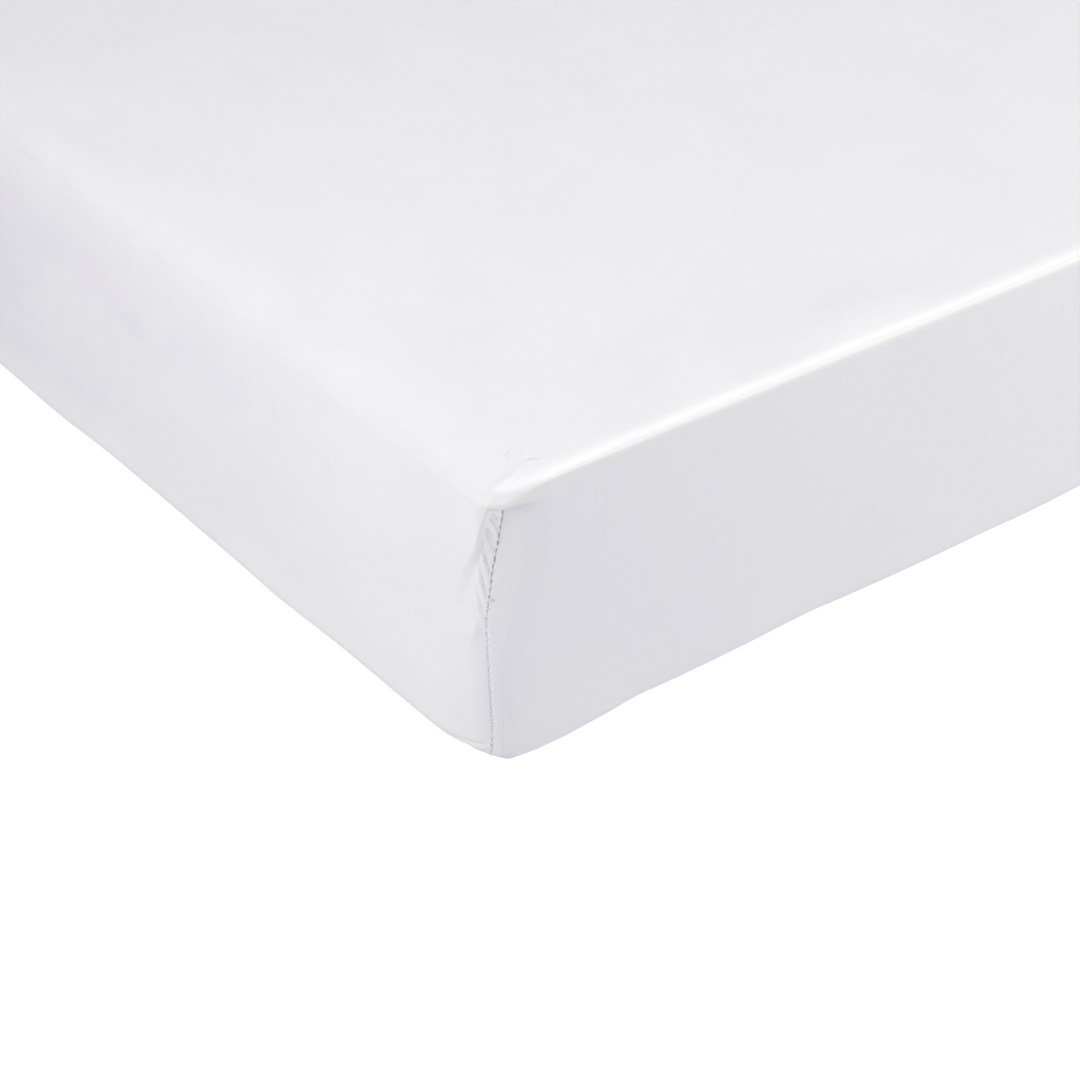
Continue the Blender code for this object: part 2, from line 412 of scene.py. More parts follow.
# %% [markdown]
# The flat places are kept as a UV map in metres. Later the weave is drawn in them, so that its threads run
# with the cloth over every edge and meet at a slant in the seams, as real ones do.

# %% Keep the flat places, then fold and sew
SEAM_CROWDING = 0.45  # how close to the seam the nearest row of points is drawn
CROWDED = 0.0030  # how far from the seam points are moved
WELD = 0.00002
flat = get_points(cloth)[:, :2]
inside_seam = np.stack([HALF_LENGTH - np.abs(flat[:, 1]), HALF_WIDTH - np.abs(flat[:, 0])], 1)
for axis, past in ((1, np.abs(flat[:, 0]) - HALF_WIDTH), (0, np.abs(flat[:, 1]) - HALF_LENGTH)):
    from_edge = inside_seam[:, 1 - axis]
    closer = from_edge * mix(SEAM_CROWDING, 1.0, soft_step(0.0008, CROWDED, from_edge))
    move = np.where((past > 0.0005) & (from_edge > 0) & (from_edge < CROWDED), from_edge - closer, 0.0)
    flat[:, axis] += np.sign(flat[:, axis]) * move
threads = cloth.data.uv_layers[0] if cloth.data.uv_layers else cloth.data.uv_layers.new()
threads.name = "threads"
corners_of_faces = np.empty(len(cloth.data.loops), int)
cloth.data.loops.foreach_get("vertex_index", corners_of_faces)
threads.data.foreach_set("uv", flat[corners_of_faces].astype(np.float32).ravel())

places, around_seam, below_head = fold_cloth(flat)
for name, values in (("around", around_seam), ("below", below_head), ("cut_x", flat[:, 0]), ("cut_y", flat[:, 1])):
    cloth.data.attributes.new(name, "FLOAT", "POINT").data.foreach_set("value", values.astype(np.float32))
set_points(cloth, places)
only(cloth)
bpy.ops.object.mode_set(mode="EDIT")
bpy.ops.mesh.select_all(action="SELECT")
bpy.ops.mesh.remove_doubles(threshold=WELD)
bpy.ops.mesh.normals_make_consistent(inside=False)
bpy.ops.object.mode_set(mode="OBJECT")
print(len(flat) - len(cloth.data.vertices), "points sewn together in the corner seams")


# %% Read the cloth's own measures back, point by point


def measure(name):
    values = np.empty(len(cloth.data.vertices), np.float32)
    cloth.data.attributes[name].data.foreach_get("value", values)
    return values.astype(float)


around, below = measure("around"), measure("below")
cut_x, cut_y = measure("cut_x"), measure("cut_y")
print("the seams run", round(float(below.max()), 3), "m along the cloth")

# %% [markdown]
# ## Creases
#
# Each crease is placed one by one: a line across the cloth with a width and a height, thin at both ends. On one
# side of the front seam the slack shows as slanting puckers that run down into it, and on the other as a few
# short ones, level with the stitches. Bump could paint them, but a real rise keeps its shadow from every side.

# %% Draw a crease in the cloth
rises = np.zeros(len(cloth.data.vertices))


def crease(first, second, start, end, width, height, bow=0.0, sharp=0.35):
    """A soft ridge, or a trough where height is below nought, from start to end in two measures."""
    run = np.array(end) - np.array(start)
    length = np.hypot(*run)
    run = run / length
    along = (first - start[0]) * run[0] + (second - start[1]) * run[1]
    aside = -(first - start[0]) * run[1] + (second - start[1]) * run[0]
    share = np.clip(along / length, 0, 1)
    aside = aside - bow * 4 * share * (1 - share)
    ends = soft_step(0.0, sharp, along / length) * (1 - soft_step(1 - sharp, 1.0, along / length))
    return height * ends * bell(width, aside)


# head of the pucker: distance from the seam, below the seam's head; foot of it: the same; width, height
PUCKERS = (
    (-0.0115, 0.006, 0.0000, 0.018, 0.0013, 0.00045),
    (-0.0135, 0.012, 0.0004, 0.027, 0.0011, -0.00055),
    (-0.0150, 0.016, 0.0004, 0.032, 0.0012, 0.00065),
    (-0.0165, 0.022, 0.0006, 0.039, 0.0011, -0.00055),
    (-0.0185, 0.025, 0.0006, 0.045, 0.0013, 0.00075),
    (-0.0170, 0.034, 0.0006, 0.052, 0.0011, -0.00060),
    (-0.0190, 0.037, 0.0006, 0.058, 0.0012, 0.00070),
    (-0.0200, 0.045, 0.0006, 0.066, 0.0011, -0.00060),
    (-0.0195, 0.051, 0.0006, 0.072, 0.0013, 0.00060),
    (-0.0185, 0.060, 0.0006, 0.079, 0.0012, -0.00045),
    (-0.0160, 0.069, 0.0006, 0.086, 0.0014, 0.00045),
    (0.0002, 0.034, 0.0100, 0.033, 0.0010, -0.00022),
    (0.0002, 0.048, 0.0120, 0.047, 0.0010, -0.00028),
    (0.0002, 0.058, 0.0090, 0.056, 0.0009, 0.00022),
    (0.0002, 0.066, 0.0110, 0.065, 0.0011, -0.00028),
)
PUCKER_FULLNESS = 1.15
PUCKER_BOW = -0.0012
on_front = np.where((cut_x < 0) & (cut_y < 0), 1.0, 0.0)
for at, down, to, ends, wide, high in PUCKERS:
    high = PUCKER_FULLNESS * high
    rises += on_front * crease(around, below, (at, down), (to, ends), wide, high, bow=PUCKER_BOW, sharp=0.25)
print(len(PUCKERS), "puckers at the front corner, up to", round(rises.max() * 1000, 2), "mm high")

# %% [markdown]
# The other three corners are sewn the same way, and no two pucker alike. Theirs are drawn from a fixed seed:
# milder, fewer, and on either side.

# %% Puckers at the other corners
chance = random.Random(27)
for (side_x, side_y), corner in CORNERS.items():
    if (side_x, side_y) == (-1, -1):
        continue
    here = np.where((cut_x * side_x > 0) & (cut_y * side_y > 0), 1.0, 0.0)
    down = 0.008
    while down < 0.080:
        reach = corner["wide"] * chance.uniform(0.009, 0.016)
        fall = chance.uniform(0.012, 0.020)
        high = chance.uniform(0.00025, 0.00050) * chance.choice((-1, 1))
        rises += here * crease(around, below, (reach, down), (0.0, down + fall), 0.0017, high, sharp=0.3)
        down += chance.uniform(0.007, 0.012)
print("puckers drawn at", len(CORNERS) - 1, "more corners")

# %% [markdown]
# A few single creases lie further off: faint ones on top just in from the corner, short nicks where the cloth
# was pressed over the long edge, a small bulge under the puckers, a fold pinched under the foot edge, and two
# broad swellings along the foot.

# %% Single creases near the front corner
# where each starts and ends in the flat cut, from the middle; width, height
SINGLE_CREASES = (
    ((-0.440, -0.952), (-0.398, -0.937), 0.0022, 0.00035),
    ((-0.430, -0.940), (-0.402, -0.928), 0.0018, -0.00025),
    ((-0.384, -0.750), (-0.356, -0.860), 0.0030, 0.00022),
    ((-0.372, -0.770), (-0.346, -0.850), 0.0026, -0.00016),
    ((-0.418, -0.992), (-0.404, -0.999), 0.0016, -0.00040),
    ((-0.560, -0.978), (-0.535, -0.991), 0.0050, 0.00110),
    ((-0.648, -0.955), (-0.634, -0.996), 0.0024, -0.00160),
    ((-0.455, -1.188), (-0.330, -1.190), 0.0300, 0.00400),
    ((-0.210, -0.974), (-0.085, -0.964), 0.0160, 0.00150),
    ((-0.655, -0.940), (-0.640, -0.990), 0.0026, 0.00045),
)
for start, end, wide, high in SINGLE_CREASES:
    rises += crease(cut_x, cut_y, start, end, wide, high, sharp=0.4)

NICKS = (
    (-0.498, 0.010), (-0.549, 0.012), (-0.624, 0.009), (-0.679, 0.011), (-0.731, 0.012), (-0.789, 0.010),
    (-0.838, 0.013),
)
for along, reach in NICKS:
    start, end = (-HALF_WIDTH + reach, along + 0.002), (-HALF_WIDTH - 0.6 * reach, along - 0.002)
    rises += crease(cut_x, cut_y, start, end, 0.0022, -0.00045, sharp=0.3)
print(len(SINGLE_CREASES), "single creases and", len(NICKS), "nicks")

# %% [markdown]
# No cloth is drawn quite even. Each flap gets long, shallow waves, a millimetre high at most, and the foot
# edge wanders a little. The elastic in the hem gathers the cloth under the mattress.

# %% Slow waves in the flaps, and gathers at the hem
past_side = np.maximum(np.abs(cut_x) - HALF_WIDTH, np.abs(cut_y) - HALF_LENGTH)
on_flap = soft_step(0.01, 0.05, past_side) * (1 - soft_step(HEIGHT - 0.015, HEIGHT + 0.02, past_side))
off_seam = soft_step(0.05, 0.16, np.abs(around))
run_of_edge = np.where(np.abs(cut_x) > HALF_WIDTH, cut_y, cut_x)
WAVES = ((0.41, 0.3, 0.00050), (0.23, 1.9, 0.00035), (0.137, 4.1, 0.00020))  # length, start, height
for wave_length, start, high in WAVES:
    turn = 2 * math.pi * (run_of_edge + 0.35 * past_side) / wave_length + start
    rises += high * np.sin(turn) * on_flap * off_seam
    wander = np.sin(turn * 1.7 + 0.5) * bell(0.018, past_side - HEIGHT)
    rises += 0.7 * high * wander * off_seam

GATHER_PITCH, GATHER_DEPTH = 0.034, 0.0011
at_hem = soft_step(SKIRT - 0.045, SKIRT - 0.012, past_side)
gathers = 0.5 + 0.5 * np.sin(2 * math.pi * run_of_edge / GATHER_PITCH + 1.3 * np.sin(run_of_edge * 23))
rises -= GATHER_DEPTH * gathers * at_hem
print("the waves are up to", round(sum(high for _, _, high in WAVES) * 1000, 2), "mm high")

# %% [markdown]
# Inside each seam the two edges of the cloth are pressed flat, and show through as a faint raised strip on
# either side of it. The seam itself is a fine groove, deepest where the cloth is slack and nearly closed under
# each stitch, so from a little way off it looks like a row of dark dashes.

# %% The seam's groove and the strips beside it
STITCH = 0.0050  # from one stitch to the next
GROOVE_SLACK, GROOVE_TIGHT = 0.0014, 0.0009
GROOVE_AT_STITCH = 0.35  # share of its depth that is left where a stitch bridges it
GROOVE_WIDTH = 0.0006
NIP_DEPTH, NIP_WIDTH = 0.00020, 0.0022  # the stitches also pinch the cloth beside the groove
ALLOWANCE = 0.0120
ALLOWANCE_RISE = 0.0004
seam_head = soft_step(0.000, 0.004, below)
groove = mix(GROOVE_SLACK, GROOVE_TIGHT, soft_step(0.05, 0.09, below))
between_stitches = 0.5 + 0.5 * np.cos(2 * math.pi * below / STITCH)
groove *= bell(GROOVE_WIDTH, around) * seam_head * mix(GROOVE_AT_STITCH, 1.0, between_stitches)
nip = NIP_DEPTH * bell(NIP_WIDTH, around) * np.cos(2 * math.pi * below / STITCH) * seam_head
strip = ALLOWANCE_RISE * (1 - soft_step(ALLOWANCE - 0.0014, ALLOWANCE + 0.0006, np.abs(around)))
strip *= soft_step(0.070, 0.100, below) * (1 - soft_step(0.195, 0.215, below))
rises += strip - groove - nip
print("the groove is", GROOVE_TIGHT * 1000, "to", GROOVE_SLACK * 1000, "mm deep")

# %% [markdown]
# So far the creases are only numbers. Now each point is moved by its own number along the cloth's normal. The
# foam also stands a little proud along the foot edge, most of all by the front corner.

# %% Raise the creases along the cloth's own normals
EDGE_FULLNESS = 0.0035
FULL_REACH, FULL_DROP = 0.110, 0.15  # how far in on top, and how far down the flap, it is felt
FREE_ROOM = 0.004  # how far a crease may stand out past the frame's own box
normals = np.empty(len(cloth.data.vertices) * 3, np.float32)
cloth.data.vertices.foreach_get("normal", normals)
normals = normals.reshape(-1, 3).astype(float)
points = get_points(cloth) + normals * rises[:, None]
past_end = -HALF_LENGTH - cut_y
fullness = np.where(past_end < 0, bell(FULL_REACH, past_end), 1 - soft_step(0.0, FULL_DROP, past_end))
fullness *= 1 - soft_step(-HALF_WIDTH, 0.25, cut_x)
points[:, 2] += EDGE_FULLNESS * fullness * soft_step(0.0, 0.05, HALF_WIDTH - np.abs(cut_x))
room = np.array([HALF_WIDTH, HALF_LENGTH]) + FREE_ROOM
points[:, :2] = np.clip(points[:, :2], -room, room)
points[:, 2] = np.maximum(points[:, 2], 0.0)
set_points(cloth, points)
print("the cloth reaches from", points.min(0).round(4), "to", points.max(0).round(4))

# %% Note where each seam runs, for the stitches
seam_lines = {}
for side_x, side_y in CORNERS:
    on_seam = (np.abs(around) < 0.00003) & (below > 0.002) & (points[:, 2] > 0.0015)
    on_seam &= (cut_x * side_x > 0) & (cut_y * side_y > 0)
    order = np.argsort(below[on_seam])
    seam_lines[side_x, side_y] = (below[on_seam][order], points[on_seam][order], normals[on_seam][order])
print([len(line[0]) for line in seam_lines.values()], "points along the four seams")

# %% Give the cloth its thickness
CLOTH_THICK = 0.0006
thickness = cloth.modifiers.new("thickness", "SOLIDIFY")
thickness.thickness = CLOTH_THICK
thickness.offset = -1.0
apply_all(cloth)
cloth.data.shade_smooth()
for name in ("around", "below", "cut_x", "cut_y"):
    cloth.data.attributes.remove(cloth.data.attributes[name])
print(triangles(cloth), "triangles in the cloth")

# %% [markdown]
# ## The stitches
#
# Each corner seam is sewn with white thread. Seen from outside, a stitch is a tiny bar that bridges the groove
# and draws it together. One is modelled: a six-sided rod, cut across three times, with its ends bent down
# into the cloth. It is then copied along each seam.

# %% Model one stitch
THREAD_RADIUS = 0.00042
STITCH_REACH = 0.0012
END_DROP = 0.0007  # how far the ends bend down into the cloth
only(None)
bpy.ops.mesh.primitive_cylinder_add(
    vertices=6, radius=THREAD_RADIUS, depth=2 * STITCH_REACH, rotation=(0, math.pi / 2, 0)
)
stitch = bpy.context.object
bpy.ops.object.transform_apply(location=False, rotation=True, scale=False)
bpy.ops.object.mode_set(mode="EDIT")
for cut in (-0.5, 0.0, 0.5):
    bpy.ops.mesh.select_all(action="SELECT")
    bpy.ops.mesh.bisect(plane_co=(cut * STITCH_REACH, 0, 0), plane_no=(1, 0, 0))
bpy.ops.object.mode_set(mode="OBJECT")
bent = get_points(stitch)
bent[:, 2] -= END_DROP * np.abs(bent[:, 0] / STITCH_REACH) ** 3
set_points(stitch, bent)
print(len(stitch.data.polygons), "faces in a stitch")

# %% Copy it along the four seams
SEAM_NAMES = {(-1, -1): "foot_left", (1, -1): "foot_right", (1, 1): "head_right", (-1, 1): "head_left"}
ALONG_STEP = 0.003
MOST_SLANT = 0.35
BAR_LENGTHS = (0.75, 1.05)


def read_line(belows, values, distance):
    return Vector([float(np.interp(distance, belows, values[:, i])) for i in range(3)])


def seam_place(corner, distance):
    """The middle of the seam, the way along it and the way out of the cloth, at a distance below its head."""
    belows, places, ways_out = seam_lines[corner]
    spot = read_line(belows, places, distance)
    ahead = read_line(belows, places, distance + ALONG_STEP)
    behind = read_line(belows, places, distance - ALONG_STEP)
    out = read_line(belows, ways_out, distance).normalized()
    along = (ahead - behind).normalized()
    out = (out - along * out.dot(along)).normalized()
    return spot, along, out


def groove_at(distance):
    return float(mix(GROOVE_SLACK, GROOVE_TIGHT, soft_step(0.05, 0.09, distance)))


seams_of_thread = []
for corner, name in SEAM_NAMES.items():
    copies = []
    distance = STITCH * 1.5
    while distance < seam_lines[corner][0][-1] - 0.001:
        spot, along, out = seam_place(corner, distance)
        across = along.cross(out)
        bar = bpy.data.objects.new("stitch_copy", stitch.data.copy())
        bpy.context.collection.objects.link(bar)
        slant = chance.uniform(-MOST_SLANT, MOST_SLANT)
        length = chance.uniform(*BAR_LENGTHS)
        frame_of_bar = Matrix((across * length, along, out)).transposed().to_4x4()
        turn = Matrix.Rotation(slant, 4, "Z")
        lift = Matrix.Translation(spot + out * (GROOVE_AT_STITCH * groove_at(distance) + 0.5 * THREAD_RADIUS))
        bar.matrix_world = lift @ frame_of_bar @ turn
        copies.append(bar)
        distance += STITCH
    only(copies[0])
    for bar in copies[1:]:
        bar.select_set(True)
    bpy.ops.object.join()
    seam_of_thread = bpy.context.object
    seam_of_thread.name = "seam_stitches_" + name
    bpy.ops.object.transform_apply(location=True, rotation=True, scale=True)
    seam_of_thread.data.shade_smooth()
    seams_of_thread.append(seam_of_thread)
    print(name, "seam:", len(copies), "stitches")
bpy.data.objects.remove(stitch)

# %% [markdown]
# In the front seam one end of thread was tied off a third of the way down, and its small white knot stands out
# of the groove: a ring of thread drawn tight, with the cut end sticking out of it.

# %% Tie the knot
KNOT_BELOW = 0.066
KNOT_OUT = 0.0024
spot, along, out = seam_place((-1, -1), KNOT_BELOW)
only(None)
bpy.ops.mesh.primitive_torus_add(major_radius=0.00070, minor_radius=0.00050, major_segments=16, minor_segments=8)
knot = bpy.context.object
knot.name = "thread_knot"
bpy.ops.object.mode_set(mode="EDIT")
bpy.ops.transform.resize(value=(1.35, 0.85, 1.0))
bpy.ops.mesh.select_all(action="DESELECT")
bpy.ops.mesh.primitive_cylinder_add(
    vertices=8, radius=0.00022, depth=0.0030, location=(0.0012, 0.0003, 0.0003), rotation=(0.3, 1.25, 0)
)
bpy.ops.object.mode_set(mode="OBJECT")
across = along.cross(out)
knot.matrix_world = Matrix.Translation(spot + out * KNOT_OUT) @ Matrix((across, along, out)).transposed().to_4x4()
bpy.ops.object.transform_apply(location=True, rotation=True, scale=True)
knot.data.shade_smooth()
print(triangles(knot), "triangles in the knot")

# %% [markdown]
# ## The mattress
#
# A plain foam mattress: a block with large, soft corners and rounded edges, hidden by the sheet except
# underneath. It starts as a cube, and two bevels round its upright edges and then the rest.

# %% A block of foam
CORNER_ROUND = 0.074
EDGE_ROUND = 0.024
mattress_low, mattress_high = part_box("mattress")
only(None)
bpy.ops.mesh.primitive_cube_add(size=1)
mattress = bpy.context.object
mattress.name = "foam_mattress"
bpy.ops.object.mode_set(mode="EDIT")
bpy.ops.mesh.select_all(action="SELECT")
bpy.ops.transform.resize(value=tuple(mattress_high - mattress_low))
bpy.ops.transform.translate(value=tuple((mattress_low + mattress_high) / 2))
print("the mattress is", tuple(round(size, 3) for size in mattress_high - mattress_low))


# %% Round its corners and edges


def select_edges(piece, wanted):
    bpy.ops.mesh.select_mode(type="EDGE")
    bpy.ops.mesh.select_all(action="DESELECT")
    shape = bmesh.from_edit_mesh(piece.data)
    for edge in shape.edges:
        edge.select_set(wanted(*(vert.co for vert in edge.verts)))
    bmesh.update_edit_mesh(piece.data)


select_edges(mattress, lambda a, b: abs(a.z - b.z) > 0.1)
bpy.ops.mesh.bevel(offset=CORNER_ROUND, segments=12, profile=0.5)
select_edges(mattress, lambda a, b: abs(a.z - b.z) < 0.0001)
bpy.ops.mesh.bevel(offset=EDGE_ROUND, segments=6, profile=0.5)
bpy.ops.object.mode_set(mode="OBJECT")
mattress.data.shade_smooth()
print(triangles(mattress), "triangles in the mattress")

# %% [markdown]
# ## Materials
#
# Shader nodes are set up with small helpers. They add a node, set its sockets, and join the ones that come
# from other nodes.

# %% Helpers for shader nodes


def feed(material, socket, value):
    """Gives a socket its value: a number, a colour, or the output of another node."""
    if isinstance(value, bpy.types.NodeSocket):
        material.node_tree.links.new(value, socket)
    else:
        socket.default_value = value


def add_node(material, kind, settings=(), **sockets):
    node = material.node_tree.nodes.new(kind)
    for name, value in settings:
        setattr(node, name, value)
    for name, value in sockets.items():
        feed(material, node.inputs[name.replace("_", " ")], value)
    return node


def new_material(name, color, roughness):
    material = bpy.data.materials.new(name)
    material.use_nodes = True
    shader = material.node_tree.nodes["Principled BSDF"]
    shader.inputs["Base Color"].default_value = (*color, 1.0)
    shader.inputs["Roughness"].default_value = roughness
    return material, shader


def noise(material, places, scale, detail=2.0, roughness=0.5):
    node = add_node(material, "ShaderNodeTexNoise", Vector=places, Scale=scale, Detail=detail, Roughness=roughness)
    return node.outputs["Fac"]


def stretch(material, places, scale, move=(0, 0, 0)):
    return add_node(material, "ShaderNodeMapping", Vector=places, Scale=scale, Location=move).outputs["Vector"]


def spread(material, value, low, high, to_low=0.0, to_high=1.0):
    node = add_node(material, "ShaderNodeMapRange", [("interpolation_type", "SMOOTHSTEP")], Value=value)
    node.inputs["From Min"].default_value, node.inputs["From Max"].default_value = low, high
    node.inputs["To Min"].default_value, node.inputs["To Max"].default_value = to_low, to_high
    return node.outputs["Result"]


def work_out(material, kind, first, second):
    node = add_node(material, "ShaderNodeMath", [("operation", kind)])
    for socket, value in zip(node.inputs, (first, second)):
        feed(material, socket, value)
    return node.outputs[0]


def blend_colors(material, share, first, second, kind="MIX"):
    node = add_node(material, "ShaderNodeMix", [("data_type", "RGBA"), ("blend_type", kind)])
    for name, value in (("Factor", share), ("A", first), ("B", second)):
        feed(material, [socket for socket in node.inputs if socket.name == name and socket.enabled][0], value)
    return [socket for socket in node.outputs if socket.enabled][0]


def bands(material, places, way, scale, distortion=0.0):
    node = add_node(
        material, "ShaderNodeTexWave", [("bands_direction", way)], Vector=places, Scale=scale, Distortion=distortion
    )
    return node.outputs["Fac"]


def bump(material, height, distance, strength, **under):
    """One layer of bump, on top of another layer if that one's Normal is given."""
    node = add_node(material, "ShaderNodeBump", Height=height, Distance=distance, Strength=strength, **under)
    return node.outputs["Normal"]


print(len(bpy.data.materials), "materials so far")

# %% [markdown]
# ### White cotton sateen
#
# Sateen is woven so that most of the threads lie on the face, which gives it a soft gloss. The threads run
# with the flat cut, so everything here reads the cut's own places, in metres. From fine to coarse there are:
# the weave, thicker threads here and there that show as faint streaks both ways, and slow clouds, some of
# tone and some of painted shade. White cloth in shade looks cooler, so painted shade a little towards violet
# is laid in clouds on the long sides and as a tint on the end flaps and the cloth beside the seams, and the
# strip just above the foot edge is left without it.

# %% The weave and its streaks
THREAD_PITCH = 0.00045
WAVE_PERIOD = 0.314  # of Blender's wave texture at a scale of 1
STREAK_SCALES = (1000, 13)  # across a thread, and along it
GRAIN_SCALE = 1300.0
cotton, cotton_shader = new_material("white_cotton_sateen", (0.80, 0.80, 0.81), 0.40)
cut_places = add_node(cotton, "ShaderNodeUVMap", [("uv_map", "threads")]).outputs["UV"]
weave_scale = WAVE_PERIOD / THREAD_PITCH
warp = bands(cotton, cut_places, "X", weave_scale, 0.6)
weft = bands(cotton, cut_places, "Y", weave_scale, 0.6)
weave = work_out(cotton, "MULTIPLY", warp, weft)
streaks_down = noise(cotton, stretch(cotton, cut_places, (*STREAK_SCALES, 1)), 1.0, 3.0, 0.6)
streaks_across = noise(cotton, stretch(cotton, cut_places, (*STREAK_SCALES[::-1], 1), (3, 5, 0)), 1.0, 3.0, 0.6)
grain = noise(cotton, cut_places, GRAIN_SCALE, 2.0, 0.7)
print("threads every", THREAD_PITCH * 1000, "mm")

# %% Clouds of tone and of painted shade, and how they colour the cloth
LEAST_CLOUD = 0.40  # how much of the cooler shade there is between the clouds
LIGHT_COTTON, MID_COTTON = (0.812, 0.811, 0.823, 1), (0.798, 0.797, 0.809, 1)
# The cool and the cloudy colours below are painted shade, cooler and darker than the clean cloth.
COOL_PAINTED_SHADE_COTTON, PAINTED_SHADE_COTTON = (0.802, 0.795, 0.826, 1), (0.754, 0.743, 0.787, 1)
split_cut = add_node(cotton, "ShaderNodeSeparateXYZ", Vector=cut_places)
off_middle = work_out(cotton, "ABSOLUTE", split_cut.outputs["X"], 0.0)
on_long_side = spread(cotton, off_middle, HALF_WIDTH + 0.010, HALF_WIDTH + 0.075)
clouds = noise(cotton, stretch(cotton, cut_places, (9.0, 6.0, 1), (1.7, 0.4, 0)), 1.0, 5.0, 0.62)
soft_clouds = noise(cotton, stretch(cotton, cut_places, (16, 11, 1), (7, 2, 0)), 1.0, 4.0, 0.6)
# Painted shade: darker violet clouds on the long sides, fading towards the corners and above the foot edge.
painted_shade_clouds = spread(cotton, clouds, 0.42, 0.62, LEAST_CLOUD, 1.0)
off_end = work_out(cotton, "ABSOLUTE", split_cut.outputs["Y"], 0.0)
away_from_corner = spread(cotton, off_end, HALF_LENGTH - 0.30, HALF_LENGTH - 0.08, 1.0, 0.05)
above_foot = spread(cotton, off_middle, HALF_WIDTH + 0.150, HALF_WIDTH + 0.190, 1.0, 0.0)
painted_shade_clouds = work_out(cotton, "MULTIPLY", work_out(cotton, "MULTIPLY", painted_shade_clouds, on_long_side), away_from_corner)
painted_shade_clouds = work_out(cotton, "MULTIPLY", painted_shade_clouds, above_foot)
# Painted shade: a cooler tint beside the seams on the long sides, and on the end flaps above the foot edge.
shade_by_seam = spread(cotton, off_end, HALF_LENGTH - 0.020, HALF_LENGTH - 0.008)
shade_by_seam = work_out(cotton, "MULTIPLY", shade_by_seam, on_long_side)
on_end_flap = spread(cotton, off_end, HALF_LENGTH + 0.003, HALF_LENGTH + 0.015)
above_end_foot = spread(cotton, off_end, HALF_LENGTH + 0.160, HALF_LENGTH + 0.195, 1.0, 0.0)
painted_cool_shade = work_out(cotton, "MAXIMUM", shade_by_seam, work_out(cotton, "MULTIPLY", on_end_flap, above_end_foot))

clean = blend_colors(cotton, spread(cotton, soft_clouds, 0.36, 0.66), LIGHT_COTTON, MID_COTTON)
# The cooler painted shade is blended into the cloth's colour here.
clean = blend_colors(cotton, painted_cool_shade, clean, COOL_PAINTED_SHADE_COTTON)
# The darker violet clouds of painted shade are blended into the cloth's colour here.
cloth_color = blend_colors(cotton, painted_shade_clouds, clean, PAINTED_SHADE_COTTON)
for streaks in (streaks_down, streaks_across):
    tone = spread(cotton, streaks, 0.25, 0.75, 0.990, 1.009)
    cloth_color = blend_colors(cotton, 1.0, cloth_color, tone, "MULTIPLY")
grain_tone = spread(cotton, grain, 0.2, 0.8, 0.985, 1.012)
cloth_color = blend_colors(cotton, 1.0, cloth_color, grain_tone, "MULTIPLY")
feed(cotton, cotton_shader.inputs["Base Color"], cloth_color)
print("the cloth's colour is made by", len(cotton.node_tree.nodes), "nodes")

# %% [markdown]
# The gloss changes a little with the streaks. The bump has three layers: the threads, the streaks, and a broad,
# very soft unevenness that keeps a long highlight from looking ruled. Sheen is kept low, as cotton has
# little fuzz.

# %% Gloss, sheen and bump
ROUGHEST, SMOOTHEST = 0.45, 0.37
gloss = spread(cotton, streaks_down, 0.25, 0.75, ROUGHEST, SMOOTHEST)
feed(cotton, cotton_shader.inputs["Roughness"], gloss)
cotton_shader.inputs["Sheen Weight"].default_value = 0.04
cotton_shader.inputs["Sheen Roughness"].default_value = 0.5
broad = noise(cotton, cut_places, 26.0, 2.0, 0.5)
broad_bump = bump(cotton, broad, 0.0008, 0.30)
streak_sum = work_out(cotton, "ADD", streaks_down, streaks_across)
streak_bump = bump(cotton, streak_sum, 0.00004, 0.6, Normal=broad_bump)
thread_bump = bump(cotton, weave, 0.00006, 0.5, Normal=streak_bump)
feed(cotton, cotton_shader.inputs["Normal"], thread_bump)
cloth.data.materials.clear()
cloth.data.materials.append(cotton)
print("the cloth has a roughness from", SMOOTHEST, "to", ROUGHEST)

# %% [markdown]
# ### Ticking and thread
#
# The mattress wears a knitted cover, off-white and matt, quilted in soft diamonds. The sewing thread is
# smoother and brighter than the cloth, with the slant of its twisted strands as bump.

# %% The mattress cover
QUILT_PITCH = 0.085
ticking, ticking_shader = new_material("mattress_ticking", (0.74, 0.73, 0.70), 0.9)
where = add_node(ticking, "ShaderNodeTexCoord").outputs["Object"]
turned = add_node(ticking, "ShaderNodeMapping", Vector=where, Rotation=(0, 0, math.pi / 4)).outputs["Vector"]
quilt_scale = WAVE_PERIOD / QUILT_PITCH
quilt_one, quilt_two = (bands(ticking, turned, way, quilt_scale) for way in "XY")
quilting = work_out(ticking, "MINIMUM", quilt_one, quilt_two)
knit = noise(ticking, where, 700.0, 2.0, 0.6)
patches = noise(ticking, where, 11.0, 3.0, 0.5)
ticking_color = blend_colors(ticking, patches, (0.76, 0.75, 0.72, 1), (0.71, 0.70, 0.665, 1))
ticking_color = blend_colors(ticking, 1.0, ticking_color, spread(ticking, knit, 0.2, 0.8, 0.93, 1.02), "MULTIPLY")
feed(ticking, ticking_shader.inputs["Base Color"], ticking_color)
quilt_bump = bump(ticking, quilting, 0.002, 0.6)
feed(ticking, ticking_shader.inputs["Normal"], bump(ticking, knit, 0.0003, 0.5, Normal=quilt_bump))
feed(ticking, ticking_shader.inputs["Roughness"], spread(ticking, knit, 0.2, 0.8, 0.85, 0.95))
mattress.data.materials.append(ticking)
print("the ticking is quilted every", QUILT_PITCH * 1000, "mm")

# %% The sewing thread
STRAND_PITCH = 0.00025
thread, thread_shader = new_material("sewing_thread", (0.86, 0.86, 0.86), 0.38)
where = add_node(thread, "ShaderNodeTexCoord").outputs["Object"]
strands = bands(thread, where, "DIAGONAL", WAVE_PERIOD / STRAND_PITCH)
fuzz = noise(thread, where, 2500.0, 2.0, 0.6)
